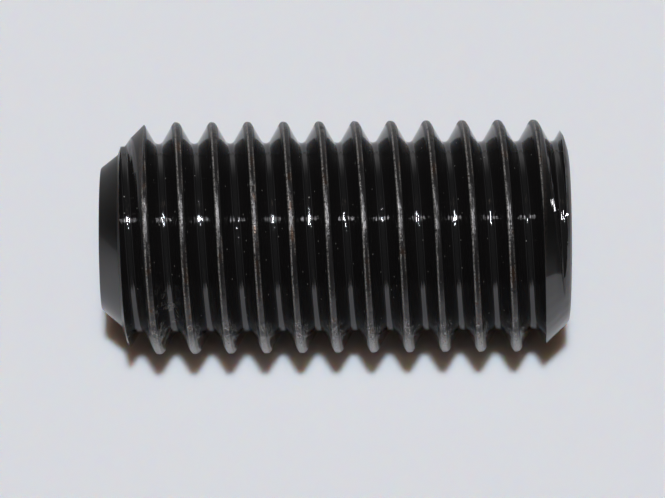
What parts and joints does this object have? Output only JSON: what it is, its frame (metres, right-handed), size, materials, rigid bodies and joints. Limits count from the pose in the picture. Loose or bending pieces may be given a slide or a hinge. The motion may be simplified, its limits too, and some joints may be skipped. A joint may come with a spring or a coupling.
{
  "type": "grub set screw",
  "caption": "Headless metric set screw with a cup point, a right-hand thread over its whole length and a hexagon socket in the other end.",
  "frame": {"origin": "on the screw's axis, in the plane of the cup point's rim, on which the screw stands", "axes": "+Z along the screw's axis, from the cup point to the hexagon socket; +X towards a corner of the hexagon"},
  "size_m": [0.0098, 0.0098, 0.0196],
  "materials": {
    "black_oxide_steel": "blackened alloy steel, oiled, with brighter worn crests"
  },
  "bodies": {
    "root": {"set_screw": "black_oxide_steel"}
  },
  "joints": []
}
